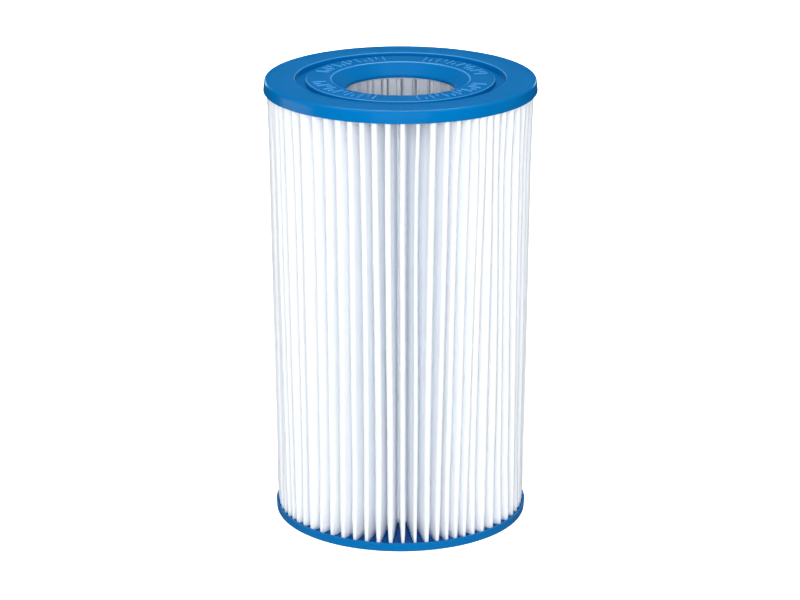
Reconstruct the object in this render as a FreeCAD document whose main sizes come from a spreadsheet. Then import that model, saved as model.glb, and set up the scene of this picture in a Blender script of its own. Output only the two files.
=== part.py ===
import FreeCAD, Part
import math
import os
import Sketcher

# Pleated filter cartridge for an above-ground pool pump, in millimetres.
# The origin is the centre of the bottom face and +Z runs up the cartridge's axis.
# Two cast polyurethane end caps hold the ends of a pleated ring of filter media
# and of the perforated core that the ring stands around.

DIMENSIONS = [
    ("overall_height", 180.5, "bottom face to top face"),
    ("top_radius", 54.0, "top cap, lower edge of its skirt"),
    ("top_face_radius", 53.5, "top cap, upper edge of its drafted skirt"),
    ("top_skirt", 4.9, "height of the top cap's skirt"),
    ("bottom_radius", 51.0, "bottom cap, upper edge of its rim"),
    ("bottom_face_radius", 50.7, "bottom cap, lower edge of its rim"),
    ("bottom_rim", 3.6, "height of the bottom cap's rim"),
    ("rim_wall", 0.9, "width of the lip that stands around the potting"),
    ("potting_step", 0.3, "potting surface below the lip's edge"),
    ("edge_round", 0.8, "rounding of both faces' outer edges and of the funnels' lips"),
    ("groove_outer", 41.5, "mould ring groove, outer radius"),
    ("groove_inner", 37.2, "mould ring groove, inner radius"),
    ("top_groove_depth", 2.5, "mould ring groove in the top face"),
    ("bottom_groove_depth", 1.2, "mould ring groove in the bottom face"),
    ("ring_step", 0.4, "inner ring below the outer face"),
    ("lip_radius", 27.4, "start of the funnel at the inner ring"),
    ("throat_radius", 21.6, "clear hole through both caps"),
    ("top_funnel", 4.5, "depth where the top funnel reaches the throat"),
    ("top_collar", 5.7, "depth of the top throat's far edge"),
    ("bottom_funnel", 2.9, "depth where the bottom funnel reaches the throat"),
    ("bottom_collar", 4.4, "depth of the bottom throat's far edge"),
    ("collar_outer", 24.0, "outer radius of the throat's collar, inside the core"),
    ("core_radius", 26.0, "outside of the core"),
    ("core_wall", 2.0, "thickness of the core's wall"),
    ("top_core_inset", 3.7, "top face to the core's upper end"),
    ("bottom_core_inset", 2.5, "bottom face to the core's lower end"),
    ("core_ribs", 24, "upright ribs around the core"),
    ("core_rows", 10, "rows of windows up the core"),
    ("window_width", 3.4, "width of a window in the core"),
    ("window_height", 13.5, "height of a window in the core"),
    ("pleat_count", 62, "folds around the media ring"),
    ("top_tip_radius", 52.4, "outer folds at the top cap"),
    ("bottom_tip_radius", 50.0, "outer folds at the bottom cap"),
    ("root_radius", 26.6, "inner folds"),
    ("media_thickness", 0.6, "thickness of the filter media"),
    ("tip_round", 0.95, "outside rounding of an outer fold"),
    ("root_round", 0.9, "outside rounding of an inner fold"),
    ("top_pleat_inset", 2.8, "top face to the media's upper edge"),
    ("bottom_pleat_inset", 1.5, "bottom face to the media's lower edge"),
    ("crowd_one", 3.9, "folds crowd together once around: size in degrees"),
    ("crowd_one_from", -175, "where that wave starts, in degrees"),
    ("crowd_three", 2.2, "folds crowd together three times around: size in degrees"),
    ("crowd_three_from", 65, "where that wave starts, in degrees"),
    ("crowd_seven", 0.8, "folds crowd together seven times around: size in degrees"),
    ("crowd_seven_from", -51, "where that wave starts, in degrees"),
    ("seam_pleat", 27, "number of the pleat that holds the strip's two ends"),
    ("seam_start", 31.0, "inner radius of the seam bead"),
    ("seam_end", 44.0, "outer radius of the seam bead"),
    ("mark_groups", 4, "groups of raised bars on the top cap's inner ring"),
    ("mark_inner", 29.6, "raised bars, inner radius"),
    ("mark_outer", 35.2, "raised bars, outer radius"),
    ("mark_width", 0.6, "width of a raised bar"),
    ("mark_pitch", 5.0, "angle between the bars of a group, in degrees"),
    ("mark_first", 12.0, "direction of the first bar of the first group, in degrees"),
    ("long_marks", 7, "full-length bars in a group, with a shorter bar after each but the last"),
]

doc = FreeCAD.newDocument("filter_cartridge")
sheet = doc.addObject("Spreadsheet::Sheet", "sizes")
for row, (alias, number, meaning) in enumerate(DIMENSIONS, start=1):
    sheet.set(f"A{row}", meaning)
    sheet.set(f"B{row}", str(number))
    sheet.setAlias(f"B{row}", alias)
doc.recompute()


def cell(alias):
    """The number in a cell of the sheet."""
    return float(getattr(sheet, alias))


def bound(expression):
    """The expression with every alias written as a reference to the sheet."""
    words = expression.replace("(", " ( ").replace(")", " ) ").split()
    known = {alias for alias, _, _ in DIMENSIONS}
    return " ".join(f"sizes.{word}" if word in known else word for word in words)


def origin_part(body, role):
    """One of the body's own origin planes or axes."""
    return next(item for item in body.Origin.OriginFeatures if item.Role == role)


def new_body(label):
    body = doc.addObject("PartDesign::Body", label)
    body.Label = label
    return body


def outline_sketch(body, name, plane, *outlines):
    """Closed straight-sided outlines whose corners are pairs of expressions."""
    sketch = body.newObject("Sketcher::SketchObject", name)
    sketch.AttachmentSupport = (origin_part(body, plane), [""])
    sketch.MapMode = "FlatFace"
    for corners in outlines:
        add_outline(sketch, corners)
    return sketch


def add_outline(sketch, corners):
    """Joined lines around the corners, each corner held by its two expressions."""
    places = []
    for across, up in corners:
        x = float(sheet.evalExpression(bound(across)))
        y = float(sheet.evalExpression(bound(up)))
        places.append(FreeCAD.Vector(x, y, 0))
    first = sketch.GeometryCount
    count = len(places)
    for index in range(count):
        sketch.addGeometry(Part.LineSegment(places[index], places[(index + 1) % count]), False)
    for index in range(count):
        following = first + (index + 1) % count
        sketch.addConstraint(Sketcher.Constraint("Coincident", first + index, 2, following, 1))
    for index, corner in enumerate(corners):
        line = first + index
        for kind, expression, size in zip(("DistanceX", "DistanceY"), corner, places[index]):
            if expression == "0":
                axis = -1 if kind == "DistanceY" else -2
                sketch.addConstraint(Sketcher.Constraint("PointOnObject", line, 1, axis))
                continue
            number = sketch.addConstraint(Sketcher.Constraint(kind, -1, 1, line, 1, size))
            sketch.setExpression(f"Constraints[{number}]", bound(expression))


def revolve(body, name, corners):
    sketch = outline_sketch(body, name + "_outline", "XZ_Plane", corners)
    turned = body.newObject("PartDesign::Revolution", name)
    turned.Profile = sketch
    turned.ReferenceAxis = (origin_part(body, "Z_Axis"), [""])
    turned.Angle = 360
    doc.recompute()
    return turned


def circles(feature, radius, height):
    """Names of the feature's circular edges with this radius at this height."""
    names = []
    for number, edge in enumerate(feature.Shape.Edges, start=1):
        curve = edge.Curve
        if not isinstance(curve, Part.Circle):
            continue
        if abs(curve.Radius - radius) < 1e-4 and abs(curve.Center.z - height) < 1e-4:
            names.append(f"Edge{number}")
    return names


def round_edges(body, name, feature, edges, radius):
    fillet = body.newObject("PartDesign::Fillet", name)
    fillet.Base = (feature, edges)
    fillet.setExpression("Radius", bound(radius))
    doc.recompute()
    return fillet


# --- end caps ---------------------------------------------------------------

def cap_profile(side, skirt, outer, face):
    """Half section of an end cap; depths are measured from its face inwards."""
    depths = [
        (face, "0"),
        ("groove_outer", "0"),
        ("groove_outer", f"{side}_groove_depth"),
        ("groove_inner", f"{side}_groove_depth"),
        ("groove_inner", "ring_step"),
        ("lip_radius", "ring_step"),
        ("throat_radius", f"{side}_funnel"),
        ("throat_radius", f"{side}_collar"),
        ("collar_outer", f"{side}_collar"),
        ("collar_outer", f"{skirt} - potting_step"),
        (f"{outer} - rim_wall", f"{skirt} - potting_step"),
        (f"{outer} - rim_wall", skirt),
        (outer, skirt),
    ]
    if side == "bottom":
        return depths
    return [(radius, f"overall_height - ( {depth} )") for radius, depth in depths]


def make_top_cap():
    body = new_body("top_cap_casting")
    turned = revolve(body, "top_casting", cap_profile("top", "top_skirt", "top_radius", "top_face_radius"))
    top = cell("overall_height")
    edges = circles(turned, cell("top_face_radius"), top)
    edges += circles(turned, cell("lip_radius"), top - cell("ring_step"))
    round_edges(body, "top_edge_round", turned, edges, "edge_round")
    add_raised_marks(body)
    return body


def add_raised_marks(body):
    """Groups of plain raised bars on the inner ring, level with the outer face."""
    middle = "( mark_inner + mark_outer ) / 2"
    add_bars(body, "long_bar", ("mark_inner", "mark_outer"), "0", "2", "long_marks")
    add_bars(body, "outer_bar", (middle, "mark_outer"), "1", "4", "( long_marks - 1 ) / 2")
    add_bars(body, "inner_bar", ("mark_inner", middle), "3", "4", "( long_marks - 1 ) / 2")


def add_bars(body, name, ends, start, stride, count):
    """One bar, repeated along each group; start and stride count in pitches of the bars."""
    near, far = ends
    half = "mark_width / 2"
    corners = [(near, f"0 - {half}"), (far, f"0 - {half}"), (far, half), (near, half)]
    sketch = outline_sketch(body, name + "_outline", "XY_Plane", corners)
    sketch.setExpression("AttachmentOffset.Base.z", bound("overall_height - ring_step * 2"))
    sketch.setExpression("AttachmentOffset.Rotation.Angle", bound(f"mark_first + mark_pitch * {start}"))
    doc.recompute()
    pad = body.newObject("PartDesign::Pad", name)
    pad.Profile = sketch
    pad.setExpression("Length", bound("ring_step * 2"))
    doc.recompute()
    repeats = body.newObject("PartDesign::MultiTransform", name + "_repeats")
    repeats.Originals = [pad]
    steps = polar_pattern(body, name + "_steps", f"mark_pitch * {stride} * ( {count} - 1 )", count)
    groups = polar_pattern(body, name + "_groups", "360", "mark_groups")
    repeats.Transformations = [steps, groups]
    body.Tip = repeats
    doc.recompute()


def polar_pattern(body, name, angle, count):
    pattern = body.newObject("PartDesign::PolarPattern", name)
    pattern.Axis = (origin_part(body, "Z_Axis"), [""])
    pattern.setExpression("Angle", bound(angle))
    pattern.setExpression("Occurrences", bound(count))
    return pattern


def make_bottom_cap():
    body = new_body("bottom_cap_casting")
    outline = cap_profile("bottom", "bottom_rim", "bottom_radius", "bottom_face_radius")
    turned = revolve(body, "bottom_casting", outline)
    edges = circles(turned, cell("bottom_face_radius"), 0)
    edges += circles(turned, cell("lip_radius"), cell("ring_step"))
    round_edges(body, "bottom_edge_round", turned, edges, "edge_round")
    return body


def seat(label, casting, *held):
    """The casting with the space of the pieces that it was cast around."""
    joined = doc.addObject("Part::MultiFuse", label + "_held")
    joined.Shapes = list(held)
    cast = doc.addObject("Part::Cut", label)
    cast.Label = label
    cast.Base = casting
    cast.Tool = joined
    return cast


# --- core -------------------------------------------------------------------

def make_core():
    """A tube with rows of upright windows, its plain ends sunk in the caps."""
    body = new_body("support_core")
    low = "bottom_core_inset"
    high = "overall_height - top_core_inset"
    wall = [("core_radius - core_wall", low), ("core_radius", low),
            ("core_radius", high), ("core_radius - core_wall", high)]
    revolve(body, "core_tube", wall)
    half = "window_width / 2"
    pitch = "( overall_height - bottom_rim - top_skirt ) / core_rows"
    windows = []
    for row in range(int(cell("core_rows"))):
        sill = f"bottom_rim + {pitch} * {row} + ( {pitch} - window_height ) / 2"
        lintel = f"{sill} + window_height"
        windows.append([(half, sill), (half, lintel), (f"0 - {half}", lintel), (f"0 - {half}", sill)])
    sketch = outline_sketch(body, "window_outline", "XZ_Plane", *windows)
    doc.recompute()
    column = body.newObject("PartDesign::Pocket", "window_column")
    column.Profile = sketch
    column.setExpression("Length", bound("core_radius + core_wall"))
    column.Reversed = True
    doc.recompute()
    around = body.newObject("PartDesign::PolarPattern", "window_columns")
    around.Originals = [column]
    around.Axis = (origin_part(body, "Z_Axis"), [""])
    around.Angle = 360
    around.setExpression("Occurrences", bound("core_ribs"))
    body.Tip = around
    doc.recompute()
    return body


# --- media ------------------------------------------------------------------

def pleat_angle(number):
    """Direction of an outer fold, counted from the front; slow waves crowd or spread the folds."""
    even = 2 * math.pi * number / cell("pleat_count")
    crowding = 0
    for waves, name in ((1, "crowd_one"), (3, "crowd_three"), (7, "crowd_seven")):
        crowding += cell(name) * math.sin(waves * even + math.radians(cell(name + "_from")))
    return even + math.radians(crowding) - math.pi / 2


def root_angle(number):
    """Direction of the inner fold between this pleat and the next."""
    return (pleat_angle(number) + pleat_angle(number + 1)) / 2


def polar(radius, angle, height):
    return FreeCAD.Vector(radius * math.cos(angle), radius * math.sin(angle), height)


def fold(start, end, outward_angle):
    """The arc that turns the strip around between two points, bulging along the angle."""
    across = end - start
    middle = (start + end) * 0.5 + polar(across.Length / 2, outward_angle, 0)
    return Part.Arc(start, middle, end).toShape()


def pleat_corners(number, outside):
    """Where one pleat's walls meet its folds at the widest level, anticlockwise, at height 0."""
    shift = 0 if outside else cell("media_thickness")
    tip_centre = cell("top_tip_radius") - cell("tip_round")
    root_centre = cell("root_radius") + cell("root_round")
    corners = []
    for centre, half, angle, side in (
        (root_centre, cell("root_round") - cell("media_thickness") + shift, root_angle(number - 1), 1),
        (tip_centre, cell("tip_round") - shift, pleat_angle(number), -1),
        (tip_centre, cell("tip_round") - shift, pleat_angle(number), 1),
        (root_centre, cell("root_round") - cell("media_thickness") + shift, root_angle(number), -1),
    ):
        corners.append(polar(centre, angle, 0) + polar(side * half, angle + math.pi / 2, 0))
    return corners


def share_of_wall(radius):
    """How far along a pleat's wall a fold with its centre at this radius would stand."""
    root_centre = cell("root_radius") + cell("root_round")
    return (radius - root_centre) / (cell("top_tip_radius") - cell("tip_round") - root_centre)


def media_outline(tip_radius, height, outside):
    """One closed side of the folded strip at one height; its walls stay upright planes."""
    share = share_of_wall(tip_radius - cell("tip_round"))
    lift = FreeCAD.Vector(0, 0, height)
    count = int(cell("pleat_count"))
    walls = []
    for number in range(count):
        root_before, tip_before, tip_after, root_after = pleat_corners(number, outside)
        tip_before = root_before + (tip_before - root_before) * share
        tip_after = root_after + (tip_after - root_after) * share
        walls.append([corner + lift for corner in (root_before, tip_before, tip_after, root_after)])
    edges = []
    for number, (root_before, tip_before, tip_after, root_after) in enumerate(walls):
        edges.append(Part.LineSegment(root_before, tip_before).toShape())
        edges.append(fold(tip_before, tip_after, pleat_angle(number)))
        edges.append(Part.LineSegment(tip_after, root_after).toShape())
        following = walls[(number + 1) % count][0]
        edges.append(fold(root_after, following, root_angle(number) + math.pi))
    return Part.Wire(edges)


def media_levels():
    """Radius of the outer folds and height, at both ends of the media."""
    low = cell("bottom_pleat_inset")
    high = cell("overall_height") - cell("top_pleat_inset")
    return [(cell("bottom_tip_radius"), low), (cell("top_tip_radius"), high)]


def make_media():
    """The strip folded into one ring; its folds are uneven, so no pattern makes them."""
    sides = []
    for outside in (True, False):
        wires = [media_outline(radius, height, outside) for radius, height in media_levels()]
        sides.append(Part.makeLoft(wires, True, True))
    media = doc.addObject("Part::Feature", "pleated_media")
    media.Label = "pleated_media"
    media.Shape = sides[0].cut(sides[1])
    return media


def make_seam():
    """The bead of glue that joins the strip's ends, between the walls of one pleat."""
    root_before, tip_before, tip_after, root_after = pleat_corners(int(cell("seam_pleat")), False)
    near = share_of_wall(cell("seam_start"))
    far = share_of_wall(cell("seam_end"))
    corners = [
        root_before + (tip_before - root_before) * near,
        root_before + (tip_before - root_before) * far,
        root_after + (tip_after - root_after) * far,
        root_after + (tip_after - root_after) * near,
    ]
    low = cell("bottom_pleat_inset")
    high = cell("overall_height") - cell("top_pleat_inset")
    face = Part.Face(Part.makePolygon(corners + corners[:1]))
    face.translate(FreeCAD.Vector(0, 0, low))
    seam = doc.addObject("Part::Feature", "media_seam")
    seam.Label = "media_seam"
    seam.Shape = face.extrude(FreeCAD.Vector(0, 0, high - low))
    return seam


def check_document():
    for item in doc.Objects:
        if "Invalid" in item.State or "Error" in item.State:
            raise RuntimeError(f"{item.Label} failed: {item.State}")


def write_part(item):
    if item.Shape.isNull() or not item.Shape.isValid():
        raise RuntimeError(f"{item.Label} has no valid shape")
    if len(item.Shape.Solids) != 1:
        raise RuntimeError(f"{item.Label} has {len(item.Shape.Solids)} solids")
    item.Shape.exportStep(f"parts/{item.Label}.step")
    print(item.Label, round(item.Shape.Volume), "mm3", len(item.Shape.Faces), "faces")


core = make_core()
media = make_media()
seam = make_seam()
top_cap = seat("top_end_cap", make_top_cap(), core, media, seam)
bottom_cap = seat("bottom_end_cap", make_bottom_cap(), core, media, seam)
doc.recompute()
check_document()
os.makedirs("parts", exist_ok=True)
for piece in (top_cap, bottom_cap, core, media, seam):
    write_part(piece)
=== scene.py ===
import math
import random

import bmesh
import bpy
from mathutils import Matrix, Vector, noise


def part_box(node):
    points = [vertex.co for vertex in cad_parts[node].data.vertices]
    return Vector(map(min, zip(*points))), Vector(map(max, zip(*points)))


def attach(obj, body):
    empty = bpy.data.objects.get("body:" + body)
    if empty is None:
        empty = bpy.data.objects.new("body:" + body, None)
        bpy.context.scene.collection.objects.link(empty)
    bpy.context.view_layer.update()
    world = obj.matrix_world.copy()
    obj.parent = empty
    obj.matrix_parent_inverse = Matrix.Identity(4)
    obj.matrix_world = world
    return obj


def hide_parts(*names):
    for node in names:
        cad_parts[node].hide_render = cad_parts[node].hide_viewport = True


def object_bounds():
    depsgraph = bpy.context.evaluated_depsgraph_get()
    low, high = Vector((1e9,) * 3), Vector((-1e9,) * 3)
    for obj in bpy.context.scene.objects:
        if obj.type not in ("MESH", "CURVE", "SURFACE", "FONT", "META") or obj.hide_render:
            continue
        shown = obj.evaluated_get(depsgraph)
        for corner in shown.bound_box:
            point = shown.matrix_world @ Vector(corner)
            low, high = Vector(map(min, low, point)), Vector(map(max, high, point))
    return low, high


# Pleated pool filter cartridge. Lengths named here are in millimetres, as in the CAD source;
# every mesh is made in metres in the CAD frame: origin at the centre of the bottom face, +Z up.

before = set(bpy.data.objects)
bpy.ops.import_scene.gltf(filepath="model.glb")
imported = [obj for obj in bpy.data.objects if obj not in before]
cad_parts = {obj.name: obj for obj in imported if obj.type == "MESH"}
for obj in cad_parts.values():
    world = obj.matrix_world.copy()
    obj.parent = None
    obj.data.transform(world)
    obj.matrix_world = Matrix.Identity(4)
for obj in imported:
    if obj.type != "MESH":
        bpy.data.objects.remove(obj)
CAD_LOW, CAD_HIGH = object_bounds()
MM = 0.001

# --- sizes read from the frame ------------------------------------------------

HEIGHT = CAD_HIGH.z / MM
MEDIA_LOW, MEDIA_HIGH = ((corner / MM).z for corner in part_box("pleated_media"))

# --- sizes shared with the CAD source -----------------------------------------

TOP_RADIUS = 54.0
TOP_FACE_RADIUS = 53.5
TOP_SKIRT = 4.9
BOTTOM_RADIUS = 51.0
BOTTOM_FACE_RADIUS = 50.7
BOTTOM_RIM = 3.6
RIM_WALL = 0.9
GROOVE_OUTER = 41.5
GROOVE_INNER = 37.2
TOP_GROOVE_DEPTH = 2.5
BOTTOM_GROOVE_DEPTH = 1.2
RING_STEP = 0.4
LIP_RADIUS = 27.4
THROAT_RADIUS = 21.6
TOP_FUNNEL = 4.5
TOP_COLLAR = 5.7
BOTTOM_FUNNEL = 2.9
BOTTOM_COLLAR = 4.4
COLLAR_OUTER = 24.0

PLEAT_COUNT = 62
TOP_TIP_RADIUS = 52.4
BOTTOM_TIP_RADIUS = 50.0
ROOT_RADIUS = 26.6
MEDIA_THICKNESS = 0.6
TIP_ROUND = 0.95
ROOT_ROUND = 0.9
CROWDING = ((1, 3.9, -175), (3, 2.2, 65), (7, 0.8, -51))

MARK_GROUPS = 4
MARK_INNER = 29.6
MARK_OUTER = 35.2
MARK_WIDTH = 0.6
MARK_PITCH = 5.0
MARK_FIRST = 12.0
LONG_MARKS = 7

# --- finer details than the CAD source has ------------------------------------

POTTING_STEP = 0.8
TOP_EDGE_ROUND = 1.3
BOTTOM_EDGE_ROUND = 0.8
# How far the painted highlight reaches from each groove and hole edge, and how far it runs down
# from the face.
EDGE_REACH = 0.5
EDGE_DEPTH = 0.4
MARK_SINK = 0.1

# The castings hold the folds straight at both ends. In between each one leans, drifts and
# ripples, and just above the lower cap its tip is pinched narrower.
LEANING = ((3, 1.25, 53), (5, 1.17, -74))
HABIT_SEED = 11
GRIP = 6
FOLD_FULLNESS = 0.85
DRIFT_WAVES = 1.6
DRIFT_REACH = 0.3
DRIFT_WIDTH = 0.15
DRIFT_BOW = 0.5
RIPPLE_WAVES = 5
RIPPLE_BOW = 0.08
FOOT_PART = 0.07
FOOT_PINCH = 0.6

# --- mesh resolution ----------------------------------------------------------

ARC_STEPS = 5
LATHE_STEPS = 360
MARK_STEPS = 20
MARK_RISES = (0, 25, 45, 62, 76)
WALL_STEPS = 10
TIP_STEPS = 8
ROOT_STEPS = 5
HEIGHT_STEPS = 44

# --- looks and light ----------------------------------------------------------

BLUE = ((0.0, 0.158, 0.44, 1), (0.0, 0.175, 0.48, 1))
# The paler blue is a painted highlight on the raised bars and on the groove and hole edges.
PAINTED_HIGHLIGHT_BLUE = ((0.05, 0.30, 0.66, 1), (0.08, 0.34, 0.70, 1))
# The darker blue is painted shade on the potting between the folds.
POTTING_SHADE_BLUE = ((0.0, 0.075, 0.30, 1), (0.0, 0.095, 0.35, 1))
POTTING_SHADE_SLOT = 1
PAINTED_HIGHLIGHT_SLOT = 2
MEDIA_WHITE = ((0.962, 0.972, 0.986, 1), (0.972, 0.98, 0.99, 1))
CORE_WHITE = ((0.92, 0.94, 0.97, 1), (0.95, 0.96, 0.98, 1))
GLUE_CREAM = ((0.72, 0.68, 0.56, 1), (0.82, 0.79, 0.68, 1))
MEDIA_TRANSLUCENCY = 0.05
CORE_TRANSLUCENCY = 0.12

FLOOR_HALF_SIZE = 20.0
FLOOR_GAP = 0.02
WORLD_HORIZON = 0.02
WORLD_ZENITH = 0.15
WORLD_GROUND = 0.35
LIGHT_COLOUR = (0.94, 0.97, 1.0)

# Each row is a name, a place and a size in metres, and a power in watts.
LAMPS = (
    ("front_strip", (0, -1.35, 0.35), (0.2, 0.9), 8.7),
    ("front_left", (-0.33, -1.31, 0.36), (0.4, 0.8), 6.2),
    ("front_right", (0.33, -1.31, 0.36), (0.4, 0.8), 6.2),
    ("back_strip", (0, 1.35, 0.35), (0.2, 0.9), 8),
    ("back_left", (-0.6, 1.2, 0.38), (0.35, 0.8), 5.5),
    ("back_right", (0.6, 1.2, 0.38), (0.35, 0.8), 5.5),
    ("left_wall", (-1.2, 0.15, 0.3), (0.6, 0.6), 4),
    ("right_wall", (1.2, 0.15, 0.3), (0.6, 0.6), 2.5),
    ("overhead", (0, -0.1, 1.3), (0.8, 0.8), 8.5),
)
CARDS = (
    ("left_card", (-0.45, 0.02, 0.07), (0.3, 0.24), 0.45),
    ("back_left_card", (-0.5, 1.0, 0.25), (0.3, 0.3), 1.6),
    ("back_right_card", (0.5, 1.0, 0.25), (0.3, 0.3), 1.2),
    ("high_back_card", (0, 0.8, 1.1), (0.5, 0.3), 6),
)

CAMERA_LENS = 132.24
CAMERA_SHIFT = -0.0006
CAMERA_PLACE = (0, -1.1232, 0.4595)
CAMERA_TILT = 18.29

# --- mesh helpers -------------------------------------------------------------


def new_object(name, mesh, material):
    obj = bpy.data.objects.new(name, mesh)
    bpy.context.scene.collection.objects.link(obj)
    obj.data.materials.append(material)
    return obj


def grid_faces(rows, columns, wrap):
    """Quads of a grid of points stored row by row; wrap joins the last column to the first."""
    faces = []
    for row in range(rows - 1):
        for column in range(columns if wrap else columns - 1):
            right = (column + 1) % columns
            low, high = row * columns, (row + 1) * columns
            faces.append((low + column, low + right, high + right, high + column))
    return faces


def rounded_outline(corners):
    """Points along a closed outline; each corner is (radius, height, rounding)."""
    points = []
    count = len(corners)
    for index, (r, z, rounding) in enumerate(corners):
        here = Vector((r, z))
        before = Vector(corners[index - 1][:2]) - here
        after = Vector(corners[(index + 1) % count][:2]) - here
        if rounding == 0:
            points.append(here)
            continue
        turn = before.angle(after)
        reach = rounding / math.tan(turn / 2)
        start = here + before.normalized() * reach
        end = here + after.normalized() * reach
        for step in range(ARC_STEPS + 1):
            share = step / ARC_STEPS
            blend = start * (1 - share) ** 2 + here * 2 * share * (1 - share) + end * share ** 2
            points.append(blend)
    return points


def lathe(outline):
    """Vertices and faces of a ring made by turning a closed outline around the axis."""
    vertices = []
    for r, z in outline:
        for step in range(LATHE_STEPS):
            angle = 2 * math.pi * step / LATHE_STEPS
            vertices.append((r * math.cos(angle) * MM, r * math.sin(angle) * MM, z * MM))
    faces = grid_faces(len(outline), LATHE_STEPS, True)
    last = (len(outline) - 1) * LATHE_STEPS
    for step in range(LATHE_STEPS):
        right = (step + 1) % LATHE_STEPS
        faces.append((last + step, last + right, right, step))
    return vertices, faces


def outward_mesh(name, vertices, faces):
    mesh = bpy.data.meshes.new(name)
    mesh.from_pydata(vertices, [], faces)
    shape = bmesh.new()
    shape.from_mesh(mesh)
    bmesh.ops.recalc_face_normals(shape, faces=shape.faces)
    shape.to_mesh(mesh)
    shape.free()
    mesh.shade_smooth()
    return mesh


# --- materials ----------------------------------------------------------------


def new_material(name):
    material = bpy.data.materials.new(name)
    material.use_nodes = True
    return material, material.node_tree, material.node_tree.nodes["Principled BSDF"]


def add_node(tree, kind, **settings):
    node = tree.nodes.new(kind)
    for key, value in settings.items():
        if key in node.inputs:
            node.inputs[key].default_value = value
        else:
            setattr(node, key, value)
    return node


def object_noise(tree, scale, detail=3.0, stretch=(1, 1, 1)):
    """A noise pattern fixed to the object; scale is in repeats per metre."""
    place = add_node(tree, "ShaderNodeTexCoord")
    shape = add_node(tree, "ShaderNodeMapping")
    shape.inputs["Scale"].default_value = stretch
    pattern = add_node(tree, "ShaderNodeTexNoise", Scale=scale, Detail=detail)
    tree.links.new(place.outputs["Object"], shape.inputs["Vector"])
    tree.links.new(shape.outputs["Vector"], pattern.inputs["Vector"])
    return pattern.outputs["Fac"]


def spread(tree, value, low, high):
    """The pattern's value remapped to run from low to high."""
    remap = add_node(tree, "ShaderNodeMapRange")
    remap.inputs["From Min"].default_value = 0.3
    remap.inputs["From Max"].default_value = 0.7
    remap.inputs["To Min"].default_value = low
    remap.inputs["To Max"].default_value = high
    tree.links.new(value, remap.inputs["Value"])
    return remap.outputs["Result"]


def mottle(tree, pattern, colours):
    """A colour that wanders between two, following the pattern."""
    mix = add_node(tree, "ShaderNodeMix", data_type="RGBA")
    factor = next(socket for socket in mix.inputs if socket.identifier == "Factor_Float")
    first = next(socket for socket in mix.inputs if socket.identifier == "A_Color")
    second = next(socket for socket in mix.inputs if socket.identifier == "B_Color")
    first.default_value, second.default_value = colours
    tree.links.new(spread(tree, pattern, 0, 1), factor)
    return next(socket for socket in mix.outputs if socket.identifier == "Result_Color")


def add_bump(tree, shader, height, strength, distance):
    bump = add_node(tree, "ShaderNodeBump", Strength=strength, Distance=distance)
    tree.links.new(height, bump.inputs["Height"])
    tree.links.new(bump.outputs["Normal"], shader.inputs["Normal"])


def cap_material(name, colours):
    """Cast polyurethane: satin, faintly mottled, with fine casting grain."""
    material, tree, shader = new_material(name)
    broad = object_noise(tree, 35)
    fine = object_noise(tree, 900)
    colour = mottle(tree, broad, colours)
    tree.links.new(colour, shader.inputs["Base Color"])
    tree.links.new(spread(tree, fine, 0.38, 0.48), shader.inputs["Roughness"])
    add_bump(tree, shader, fine, 0.06, 0.0002)
    shader.inputs["Specular IOR Level"].default_value = 0.0
    shader.inputs["Coat Weight"].default_value = 0.35
    shader.inputs["Coat Roughness"].default_value = 0.2
    return material


def let_light_through(tree, shader, colour, share):
    """Mix a share of translucency into a material's surface."""
    through = add_node(tree, "ShaderNodeBsdfTranslucent")
    tree.links.new(colour, through.inputs["Color"])
    sheet = add_node(tree, "ShaderNodeMixShader")
    sheet.inputs["Fac"].default_value = share
    tree.links.new(shader.outputs[0], sheet.inputs[1])
    tree.links.new(through.outputs[0], sheet.inputs[2])
    tree.links.new(sheet.outputs[0], tree.nodes["Material Output"].inputs["Surface"])


def media_material():
    """White spun-bonded polyester: fine fibres, slightly cloudy, matt."""
    material, tree, shader = new_material("spunbond_white")
    cloud = object_noise(tree, 260)
    fibre = object_noise(tree, 2600, 6.0, (1, 1, 0.25))
    cross = object_noise(tree, 2600, 6.0, (0.3, 0.3, 1))
    web = add_node(tree, "ShaderNodeMath", operation="ADD")
    tree.links.new(fibre, web.inputs[0])
    tree.links.new(cross, web.inputs[1])
    colour = mottle(tree, cloud, MEDIA_WHITE)
    tree.links.new(colour, shader.inputs["Base Color"])
    tree.links.new(spread(tree, fibre, 0.75, 0.9), shader.inputs["Roughness"])
    add_bump(tree, shader, web.outputs[0], 0.12, 0.0002)
    shader.inputs["Specular IOR Level"].default_value = 0.2
    let_light_through(tree, shader, colour, MEDIA_TRANSLUCENCY)
    return material


def core_material():
    """Natural white moulded polypropylene."""
    material, tree, shader = new_material("polypropylene_white")
    broad = object_noise(tree, 60)
    colour = mottle(tree, broad, CORE_WHITE)
    tree.links.new(colour, shader.inputs["Base Color"])
    tree.links.new(spread(tree, object_noise(tree, 700), 0.35, 0.5), shader.inputs["Roughness"])
    add_bump(tree, shader, object_noise(tree, 700), 0.05, 0.0002)
    let_light_through(tree, shader, colour, CORE_TRANSLUCENCY)
    return material


def glue_material():
    """Cloudy hot-melt glue."""
    material, tree, shader = new_material("hot_melt_glue")
    cloud = object_noise(tree, 120)
    colour = mottle(tree, cloud, GLUE_CREAM)
    tree.links.new(colour, shader.inputs["Base Color"])
    tree.links.new(spread(tree, cloud, 0.25, 0.4), shader.inputs["Roughness"])
    return material


# --- end caps -----------------------------------------------------------------


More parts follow.
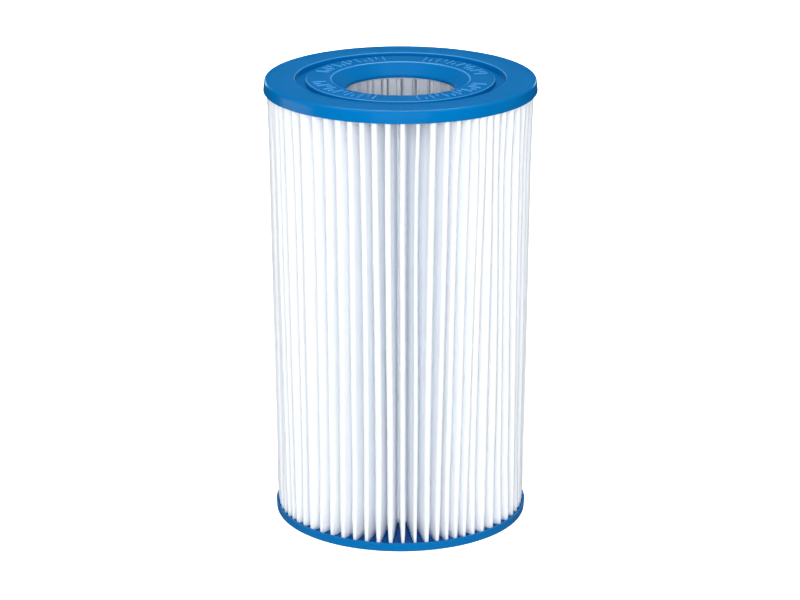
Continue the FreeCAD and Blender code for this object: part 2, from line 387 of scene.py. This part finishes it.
def cap_outline(side, face, outer, edge, skirt, groove, funnel, collar):
    """Half section of a cap with its edges rounded; depths run inwards from its face."""
    potting = skirt - POTTING_STEP
    corners = [
        (face, 0, edge),
        (GROOVE_OUTER, 0, 0.45),
        (GROOVE_OUTER, groove, 0.3),
        (GROOVE_INNER, groove, 0.3),
        (GROOVE_INNER, RING_STEP, 0.45),
        (LIP_RADIUS, RING_STEP, 1.4),
        (THROAT_RADIUS, funnel, 0.5),
        (THROAT_RADIUS, collar, 0.25),
        (COLLAR_OUTER, collar, 0.25),
        (COLLAR_OUTER, potting, 0.2),
        (outer - RIM_WALL, potting, 0.12),
        (outer - RIM_WALL, skirt, 0.12),
        (outer, skirt, 0.3),
    ]
    if side == "top":
        corners = [(r, HEIGHT - depth, rounding) for r, depth, rounding in corners]
    return rounded_outline(corners)


def mark_mesh(near, far, angle, base, top):
    """A raised bar with a domed top, pointing along a radius."""
    half = MARK_WIDTH / 2
    rises = [math.radians(rise) for rise in MARK_RISES]
    levels = []
    for rise in rises:
        height = base + (top - base) * math.sin(rise) / math.sin(rises[-1])
        levels.append((height, math.cos(rise)))
    vertices = []
    for height, size in levels:
        for step in range(MARK_STEPS):
            turn = 2 * math.pi * step / MARK_STEPS
            end = far - half if math.cos(turn) > 0 else near + half
            along = half * size * math.cos(turn) + end
            across = half * size * math.sin(turn)
            x = along * math.cos(angle) - across * math.sin(angle)
            y = along * math.sin(angle) + across * math.cos(angle)
            vertices.append((x * MM, y * MM, height * MM))
    faces = grid_faces(len(levels), MARK_STEPS, True)
    faces.append(tuple(range(MARK_STEPS - 1, -1, -1)))
    faces.append(tuple(range((len(levels) - 1) * MARK_STEPS, len(levels) * MARK_STEPS)))
    return vertices, faces


def add_marks(vertices, faces):
    """Groups of plain raised bars on the top cap's inner ring, every other one shorter."""
    middle = (MARK_INNER + MARK_OUTER) / 2
    spans = [
        (MARK_INNER, MARK_OUTER),
        (middle, MARK_OUTER),
        (MARK_INNER, MARK_OUTER),
        (MARK_INNER, middle),
    ]
    for group in range(MARK_GROUPS):
        for step in range(2 * LONG_MARKS - 1):
            near, far = spans[step % len(spans)]
            angle = math.radians(MARK_FIRST + group * 360 / MARK_GROUPS + step * MARK_PITCH)
            first = len(vertices)
            bar, sides = mark_mesh(near, far, angle, HEIGHT - RING_STEP - MARK_SINK, HEIGHT)
            vertices += bar
            faces += [tuple(first + index for index in side) for side in sides]


def paint_potting_shade(cap, level, outer):
    """Paint the potting surface between the folds a deeper blue: painted shade where the folds
    shade it.
    """
    for polygon in cap.data.polygons:
        middle = polygon.center / MM
        radius = math.hypot(middle.x, middle.y)
        if abs(middle.z - level) < 0.02 and COLLAR_OUTER < radius < outer - RIM_WALL:
            polygon.material_index = POTTING_SHADE_SLOT


def paint_edge_highlights(cap, count):
    """Paint a highlight on the edges of the ring groove and of the hole, as pale as the bars."""
    edges = (GROOVE_OUTER, GROOVE_INNER, LIP_RADIUS)
    for polygon in cap.data.polygons[:count]:
        middle = polygon.center / MM
        radius = math.hypot(middle.x, middle.y)
        near = min(abs(radius - edge) for edge in edges) < EDGE_REACH
        high = middle.z > HEIGHT - RING_STEP - EDGE_DEPTH
        if near and high and 0.3 < polygon.normal.z < 0.985:
            polygon.material_index = PAINTED_HIGHLIGHT_SLOT


def make_caps():
    """Both castings; the raised bars and the edges carry a painted highlight, paler than the
    rest, and the potting between the folds carries painted shade.
    """
    blue = cap_material("cast_polyurethane_blue", BLUE)
    # Paler blue: a painted highlight for the bars and the edges.
    painted_highlight = cap_material("cast_polyurethane_painted_highlight", PAINTED_HIGHLIGHT_BLUE)
    # Darker blue: painted shade for the potting between the folds.
    potting = cap_material("cast_polyurethane_potting_shade", POTTING_SHADE_BLUE)
    outline = cap_outline(
        "top", TOP_FACE_RADIUS, TOP_RADIUS, TOP_EDGE_ROUND, TOP_SKIRT,
        TOP_GROOVE_DEPTH, TOP_FUNNEL, TOP_COLLAR,
    )
    vertices, faces = lathe(outline)
    plain = len(faces)
    add_marks(vertices, faces)
    mesh = outward_mesh("top_cap", vertices, faces)
    cap = new_object("top_cap_casting", mesh, blue)
    cap.data.materials.append(potting)
    cap.data.materials.append(painted_highlight)
    # The raised bars get the paler blue: a painted highlight.
    for polygon in cap.data.polygons[plain:]:
        polygon.material_index = PAINTED_HIGHLIGHT_SLOT
    paint_edge_highlights(cap, plain)
    paint_potting_shade(cap, HEIGHT - TOP_SKIRT + POTTING_STEP, TOP_RADIUS)
    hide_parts("top_end_cap")
    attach(cap, "root")
    outline = cap_outline(
        "bottom", BOTTOM_FACE_RADIUS, BOTTOM_RADIUS, BOTTOM_EDGE_ROUND, BOTTOM_RIM,
        BOTTOM_GROOVE_DEPTH, BOTTOM_FUNNEL, BOTTOM_COLLAR,
    )
    vertices, faces = lathe(outline)
    mesh = outward_mesh("bottom_cap", vertices, faces)
    cap = new_object("bottom_cap_casting", mesh, blue)
    # The bottom cap's potting between the folds also gets the painted shade.
    cap.data.materials.append(potting)
    paint_potting_shade(cap, BOTTOM_RIM - POTTING_STEP, BOTTOM_RADIUS)
    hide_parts("bottom_end_cap")
    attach(cap, "root")


# --- media --------------------------------------------------------------------


def waves(even, table):
    """Sum of sine waves around the ring; each is (waves per turn, degrees, start in degrees)."""
    degrees = 0
    for count, size, start in table:
        degrees += size * math.sin(count * even + math.radians(start))
    return math.radians(degrees)


def pleat_angle(number):
    """Direction of an outer fold, by the same rule as the CAD source."""
    even = 2 * math.pi * number / PLEAT_COUNT
    return even + waves(even, CROWDING) - math.pi / 2


def root_angle(number):
    return (pleat_angle(number) + pleat_angle(number + 1)) / 2


def lean_angle(number):
    """How far a pleat leans sideways at its top end, and the other way at its foot."""
    return waves(2 * math.pi * number / PLEAT_COUNT, LEANING)


def polar(radius, angle):
    return Vector((radius * math.cos(angle), radius * math.sin(angle)))


def pleat_habits():
    """How each pleat strays from its straight line, in millimetres."""
    dice = random.Random(HABIT_SEED)
    habits = []
    for _ in range(PLEAT_COUNT):
        habits.append({
            "bow": dice.uniform(-0.5, 0.5),
            "reach": dice.uniform(-0.7, 0.0),
            "belly": (dice.uniform(-0.25, 0.35), dice.uniform(-0.25, 0.35)),
            "width": dice.uniform(-0.1, 0.4),
            "seed": dice.uniform(0, 100),
        })
    return habits


def fold_arc(start, end, outward, steps):
    """Points that carry the sheet around a fold, from start to end inclusive."""
    middle = (start + end) / 2
    half = (end - start) / 2
    points = []
    for step in range(steps + 1):
        turn = math.pi * step / steps
        bulge = outward * half.length * math.sin(turn) ** FOLD_FULLNESS
        points.append(middle - half * math.cos(turn) + bulge)
    return points


def pleat_section(number, level, habit):
    """Middle line of one pleat at a level from 0, bottom cap, to 1, top cap."""
    held = min(1, GRIP * level) * min(1, GRIP * (1 - level))
    loose = held * held * (3 - 2 * held)
    drift = noise.noise(Vector((habit["seed"], level * DRIFT_WAVES, 7)))
    ripple = noise.noise(Vector((habit["seed"], level * RIPPLE_WAVES, 0)))
    tip_radius = BOTTOM_TIP_RADIUS + (TOP_TIP_RADIUS - BOTTOM_TIP_RADIUS) * level
    tip_centre = tip_radius - TIP_ROUND + loose * (habit["reach"] + DRIFT_REACH * drift)
    half_tip = TIP_ROUND - MEDIA_THICKNESS / 2 + habit["width"] + DRIFT_WIDTH * drift
    half_tip *= 1 - FOOT_PINCH * max(0, 1 - level / FOOT_PART)
    half_root = ROOT_ROUND - MEDIA_THICKNESS / 2
    root_centre = ROOT_RADIUS + ROOT_ROUND
    before, after = root_angle(number - 1), root_angle(number)
    roots = [
        polar(root_centre, before) + polar(half_root, before + math.pi / 2),
        polar(root_centre, after) - polar(half_root, after + math.pi / 2),
    ]
    lean = lean_angle(number) * (2 * level - 1)
    facing = pleat_angle(number) + lean
    sway = DRIFT_BOW * drift + RIPPLE_BOW * ripple
    bow = habit["bow"] * math.sin(math.pi * level) + loose * sway
    tip = polar(tip_centre, facing) + polar(bow, facing + math.pi / 2)
    outward = (tip - (roots[0] + roots[1]) / 2).normalized()
    sideways = Vector((-outward.y, outward.x))
    tips = [tip - sideways * half_tip, tip + sideways * half_tip]
    left, right = [], []
    for step in range(WALL_STEPS):
        share = step / WALL_STEPS
        belly = loose * math.sin(math.pi * share) * share
        left.append(roots[0].lerp(tips[0], share) - sideways * (belly * habit["belly"][0]))
        right.append(roots[1].lerp(tips[1], share) + sideways * (belly * habit["belly"][1]))
    nose = fold_arc(tips[0], tips[1], outward, TIP_STEPS)
    following = polar(root_centre, after) + polar(half_root, after + math.pi / 2)
    root = fold_arc(roots[1], following, -polar(1, after), ROOT_STEPS)
    return left + nose + right[:0:-1] + root[:-1]


def make_media(material):
    """The folded strip as one closed sheet around the core."""
    low, high = MEDIA_LOW, MEDIA_HIGH
    habits = pleat_habits()
    vertices = []
    columns = 0
    for row in range(HEIGHT_STEPS + 1):
        level = row / HEIGHT_STEPS
        height = low + (high - low) * level
        ring = []
        for number, habit in enumerate(habits):
            ring += pleat_section(number, level, habit)
        columns = len(ring)
        vertices += [(point.x * MM, point.y * MM, height * MM) for point in ring]
    mesh = bpy.data.meshes.new("pleats")
    mesh.from_pydata(vertices, [], grid_faces(HEIGHT_STEPS + 1, columns, True))
    mesh.shade_smooth()
    media = new_object("folded_media", mesh, material)
    thick = media.modifiers.new("thickness", "SOLIDIFY")
    thick.thickness = MEDIA_THICKNESS * MM
    thick.offset = 0
    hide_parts("pleated_media")
    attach(media, "root")


# --- stage --------------------------------------------------------------------


def make_floor():
    """A large white light table that only the camera sees, so it doesn't wash the part out."""
    size, height = FLOOR_HALF_SIZE, -FLOOR_GAP * MM
    mesh = bpy.data.meshes.new("floor")
    sides = [(-size, -size), (size, -size), (size, size), (-size, size)]
    corners = [(x, y, height) for x, y in sides]
    mesh.from_pydata(corners, [], [(0, 1, 2, 3)])
    floor = bpy.data.objects.new("floor", mesh)
    bpy.context.scene.collection.objects.link(floor)
    material, _, shader = new_material("floor_white")
    shader.inputs["Base Color"].default_value = (0.9, 0.9, 0.9, 1)
    shader.inputs["Roughness"].default_value = 0.9
    shader.inputs["Emission Color"].default_value = (1, 1, 1, 1)
    shader.inputs["Emission Strength"].default_value = 1.0
    floor.data.materials.append(material)
    floor.visible_diffuse = False
    floor.visible_glossy = False


def area_light(name, place, size, power, target):
    """A rectangular light that faces the target and isn't itself in the picture."""
    light = bpy.data.lights.new(name, "AREA")
    light.shape = "RECTANGLE"
    light.size, light.size_y = size
    light.energy = power
    light.color = LIGHT_COLOUR
    obj = bpy.data.objects.new(name, light)
    bpy.context.scene.collection.objects.link(obj)
    obj.location = place
    obj.rotation_euler = (Vector(target) - Vector(place)).to_track_quat("-Z", "Y").to_euler()
    obj.visible_camera = False
    return obj


def sky_band(tree, height, ends, strengths):
    """Strength that changes from the first to the second between two heights of the sky."""
    band = add_node(tree, "ShaderNodeMapRange")
    band.inputs["From Min"].default_value, band.inputs["From Max"].default_value = ends
    band.inputs["To Min"].default_value, band.inputs["To Max"].default_value = strengths
    tree.links.new(height, band.inputs["Value"])
    return band.outputs["Result"]


def make_world():
    """A dim, slightly blue studio, with a glow from overhead and from the table."""
    world = bpy.data.worlds.new("studio")
    world.use_nodes = True
    tree = world.node_tree
    place = add_node(tree, "ShaderNodeTexCoord")
    split = add_node(tree, "ShaderNodeSeparateXYZ")
    tree.links.new(place.outputs["Generated"], split.inputs[0])
    both = add_node(tree, "ShaderNodeMath", operation="ADD")
    above = sky_band(tree, split.outputs["Z"], (0.1, 0.8), (WORLD_HORIZON, WORLD_ZENITH))
    below = sky_band(tree, split.outputs["Z"], (-0.2, -0.5), (0.0, WORLD_GROUND))
    tree.links.new(above, both.inputs[0])
    tree.links.new(below, both.inputs[1])
    background = tree.nodes["Background"]
    background.inputs["Color"].default_value = (0.9, 0.95, 1.0, 1)
    tree.links.new(both.outputs[0], background.inputs["Strength"])
    bpy.context.scene.world = world


def make_lights():
    """Soft lamps that light the cartridge, and cards that only put highlights on it."""
    for row in LAMPS:
        area_light(*row, (0, 0, HEIGHT * MM / 2)).visible_glossy = False
    for row in CARDS:
        area_light(*row, (0, 0, HEIGHT * MM)).visible_diffuse = False


def make_camera():
    """A long lens that looks a little down on the cartridge from the front."""
    camera = bpy.data.cameras.new("camera")
    camera.sensor_width = 36
    camera.lens = CAMERA_LENS
    camera.shift_x = CAMERA_SHIFT
    obj = bpy.data.objects.new("camera", camera)
    bpy.context.scene.collection.objects.link(obj)
    obj.location = CAMERA_PLACE
    obj.rotation_euler = (math.radians(90 - CAMERA_TILT), 0, 0)
    bpy.context.scene.camera = obj


def allow_deep_valleys():
    """Light reaches the roots of the white folds only after many bounces."""
    cycles = bpy.context.scene.cycles
    cycles.diffuse_bounces = 32
    cycles.max_bounces = 40


def main():
    make_caps()
    make_media(media_material())
    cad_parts["support_core"].data.materials[0] = core_material()
    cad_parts["media_seam"].data.materials[0] = glue_material()
    make_floor()
    make_world()
    make_lights()
    make_camera()
    bpy.context.scene.view_settings.view_transform = "Standard"
    allow_deep_valleys()


main()
